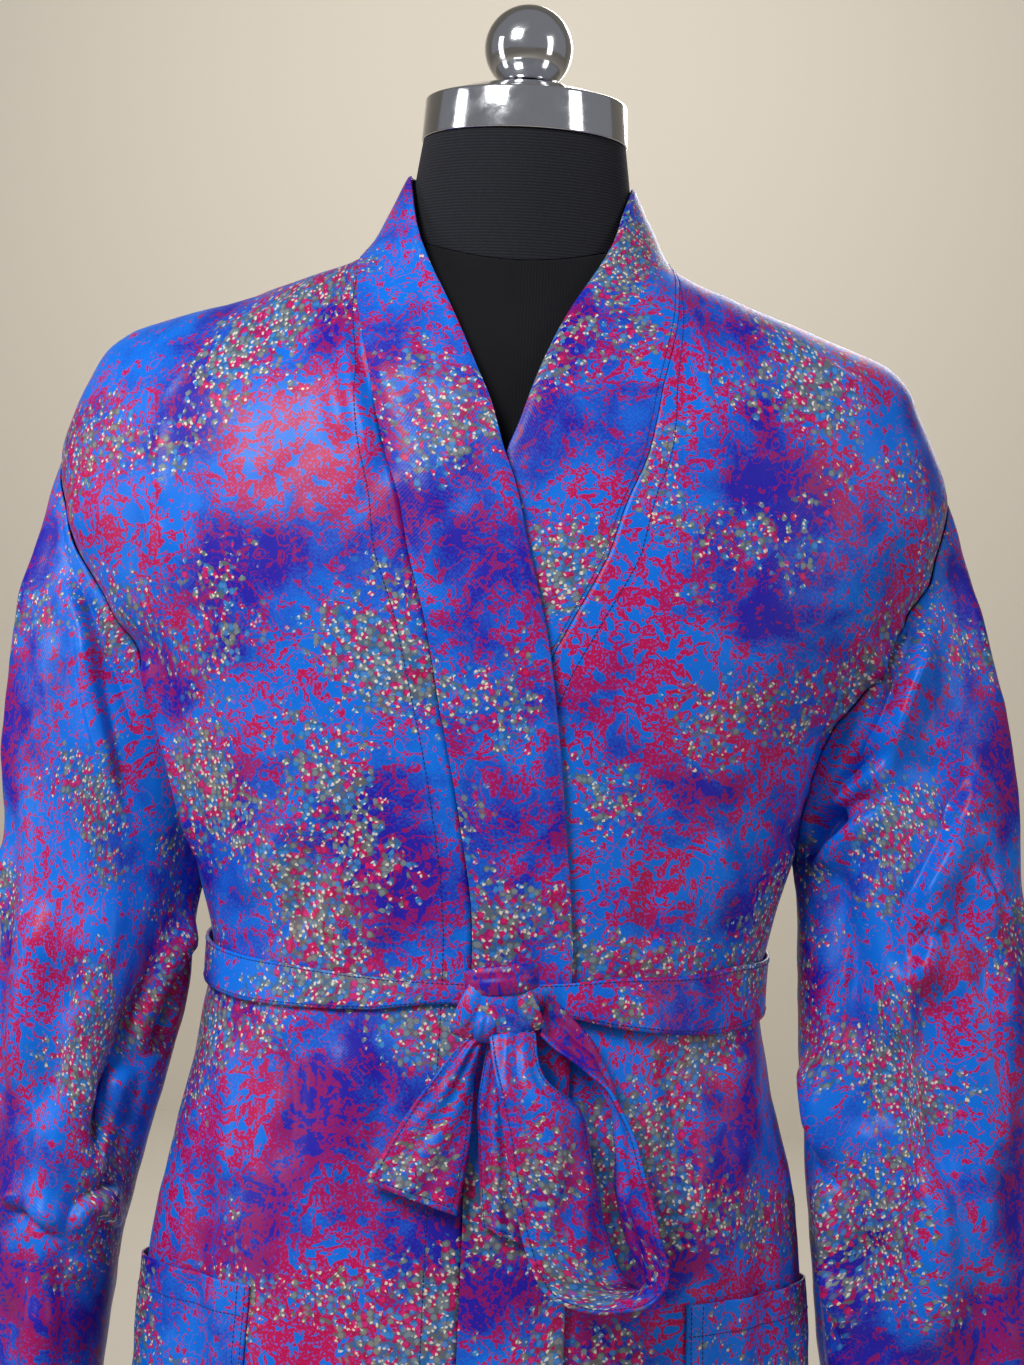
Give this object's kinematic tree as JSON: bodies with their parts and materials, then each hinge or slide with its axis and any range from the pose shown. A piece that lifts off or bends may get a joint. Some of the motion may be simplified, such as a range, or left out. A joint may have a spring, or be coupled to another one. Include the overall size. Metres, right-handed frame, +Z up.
{
  "type": "kimono robe on dress form stand",
  "caption": "Long wrap-front kimono robe with neckband, wide sleeves, patch pockets and tied sash, worn by a limbless dress form on a pole stand with a round base.",
  "frame": {"origin": "centre of the underside of the stand's base, on the floor", "axes": "+Z up along the pole, +X to the viewer's right when facing the robe's front, and the robe opens towards -Y"},
  "size_m": [0.6518, 0.41, 1.633],
  "materials": {
    "silk": "printed satin, soft sheen",
    "jersey": "matte black stretch jersey",
    "polished": "polished",
    "painted": "satin black"
  },
  "bodies": {
    "root": {"back": "silk", "front_left": "silk", "front_right": "silk", "neckband_left": "silk", "neckband_right": "silk", "sleeve_left": "silk", "sleeve_right": "silk", "pocket_left": "silk", "pocket_right": "silk", "sash": "silk", "knot": "silk", "bow_loop": "silk", "tail_left": "silk", "tail_right": "silk", "form_torso": "jersey", "form_neck": "jersey", "neck_cap": "polished", "cap_ball": "polished", "form_plate": "painted", "stand_pole": "polished", "stand_base": "painted"}
  },
  "joints": []
}
